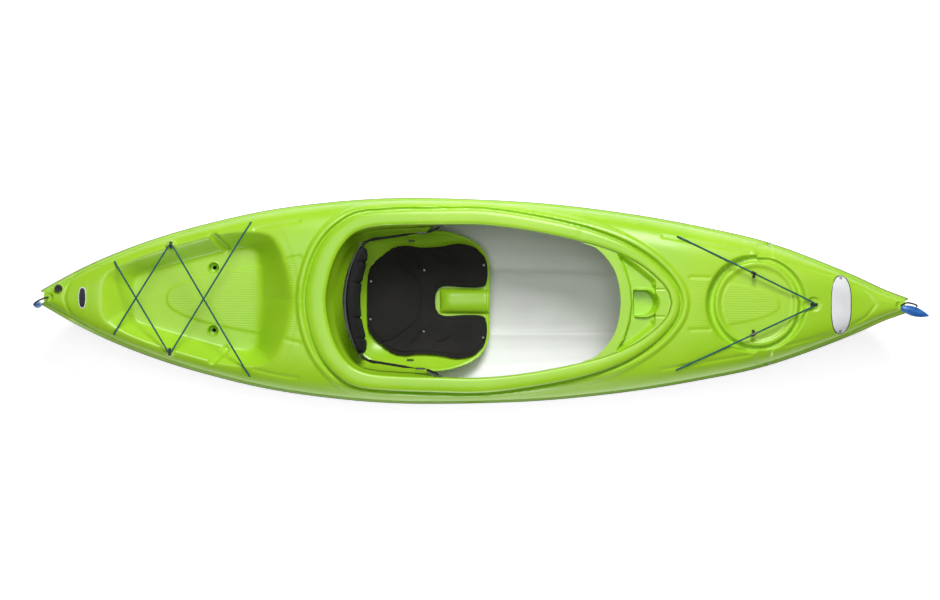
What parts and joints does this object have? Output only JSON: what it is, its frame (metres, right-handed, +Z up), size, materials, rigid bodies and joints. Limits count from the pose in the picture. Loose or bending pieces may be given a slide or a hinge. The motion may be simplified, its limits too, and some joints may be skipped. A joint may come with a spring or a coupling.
{
  "type": "recreational kayak",
  "caption": "Short sit-inside kayak: lime deck over a white hull, open cockpit with padded seat and folding backrest, rear tankwell, bungee cords, carry handles and drain plug.",
  "frame": {"origin": "the flat of the keel amidships, on the surface that the boat rests on", "axes": "+X towards the bow, +Y to port (the left of someone seated), +Z up"},
  "size_m": [3.1552, 0.7292, 0.3558],
  "materials": {
    "lime_plastic": "satin",
    "white_plastic": "satin",
    "cushion_foam": "matt",
    "black_plastic": "matt",
    "webbing": "matt",
    "bungee_cord": "matt",
    "blue_plastic": "satin",
    "stainless_steel": "brushed",
    "anodised_rail": "satin",
    "seal_rubber": "matt",
    "flotation_foam": "matt"
  },
  "bodies": {
    "boat": {"deck_shell": "lime_plastic", "cockpit_console": "lime_plastic", "seat_pan": "lime_plastic", "hull_shell": "white_plastic", "seat_cushion": "cushion_foam", "front_pad_eye": "black_plastic", "rear_pad_eye_left": "black_plastic", "rear_pad_eye_right": "black_plastic", "stern_handle_knot": "black_plastic", "drain_bushing": "black_plastic", "strap_buckle_left": "black_plastic", "strap_buckle_right": "black_plastic", "strap_anchor_left": "black_plastic", "strap_anchor_right": "black_plastic", "anchor_strap_left": "webbing", "anchor_strap_right": "webbing", "front_bungee": "bungee_cord", "rear_bungee_a": "bungee_cord", "rear_bungee_b": "bungee_cord", "cushion_snap_rear_left": "stainless_steel", "cushion_snap_rear_right": "stainless_steel", "cushion_snap_middle_left": "stainless_steel", "cushion_snap_middle_right": "stainless_steel", "cushion_snap_front_left": "stainless_steel", "cushion_snap_front_right": "stainless_steel", "backrest_bracket_left": "stainless_steel", "backrest_bracket_right": "stainless_steel", "backrest_pin_left": "stainless_steel", "backrest_pin_right": "stainless_steel", "rail_screw_front_left": "stainless_steel", "rail_screw_front_right": "stainless_steel", "rail_screw_rear_left": "stainless_steel", "rail_screw_rear_right": "stainless_steel", "foot_rail_left": "anodised_rail", "foot_rail_right": "anodised_rail", "bow_foam_block": "flotation_foam", "stern_foam_block": "flotation_foam"},
    "backrest": {"backrest_shell": "black_plastic", "backrest_pad": "cushion_foam", "backrest_strap_left": "webbing", "backrest_strap_right": "webbing"},
    "hook_left": {"paddle_hook_left": "black_plastic"},
    "hook_right": {"paddle_hook_right": "black_plastic"},
    "bow_swivel": {"bow_handle_knot": "black_plastic"},
    "bow_grip": {"bow_handle_grip": "blue_plastic", "bow_handle_cord": "black_plastic"},
    "stern_grip": {"stern_handle_grip": "blue_plastic", "stern_handle_cord": "black_plastic"},
    "drain_seal_ring": {"drain_seal": "seal_rubber"},
    "drain_cap": {"drain_plug": "black_plastic"},
    "pedal_left": {"foot_pedal_left": "black_plastic"},
    "pedal_right": {"foot_pedal_right": "black_plastic"}
  },
  "joints": [
    {"name": "backrest_fold", "type": "hinge", "parent": "boat", "child": "backrest", "pos_m": [-0.41933, 0, 0.122], "axis": [0, 1, 0], "range_deg": [0, 50], "deforming": ["backrest_strap_left", "backrest_strap_right"]},
    {"name": "hook_slide_left", "type": "slide", "parent": "boat", "child": "hook_left", "axis": [-0.9025, 0.4287, 0.0413], "range_m": [-0.05, 0.05]},
    {"name": "hook_slide_right", "type": "slide", "parent": "boat", "child": "hook_right", "axis": [-0.9025, -0.4287, 0.0413], "range_m": [-0.05, 0.05]},
    {"name": "bow_handle_swing", "type": "hinge", "parent": "boat", "child": "bow_swivel", "pos_m": [1.498, 0, 0.2944], "axis": [0, 0, 1], "range_deg": [-44, 76]},
    {"name": "bow_handle_lift", "type": "hinge", "parent": "bow_swivel", "child": "bow_grip", "pos_m": [1.498, 0, 0.29793], "axis": [-0.2756, -0.9613, 0], "range_deg": [0, 110]},
    {"name": "stern_handle_lift", "type": "hinge", "parent": "boat", "child": "stern_grip", "pos_m": [-1.498, 0, 0.29709], "axis": [0, 1, 0], "range_deg": [0, 130]},
    {"name": "drain_plug_lift", "type": "slide", "parent": "boat", "child": "drain_seal_ring", "axis": [0, 0, 1], "range_m": [0, 0.012]},
    {"name": "drain_plug_turn", "type": "hinge", "parent": "drain_seal_ring", "child": "drain_cap", "pos_m": [-1.459, 0.032, 0.2946], "axis": [0, 0, 1], "range_deg": [0, 1440]},
    {"name": "foot_pedal_slide_left", "type": "slide", "parent": "boat", "child": "pedal_left", "axis": [0.9874, -0.1581, 0], "range_m": [-0.12, 0.12]},
    {"name": "foot_pedal_slide_right", "type": "slide", "parent": "boat", "child": "pedal_right", "axis": [0.9874, 0.1581, 0], "range_m": [-0.12, 0.12]}
  ],
  "couplings": [
    {"joint": "drain_plug_turn", "follows": "drain_plug_lift", "rad_per_m": 2094.4}
  ]
}
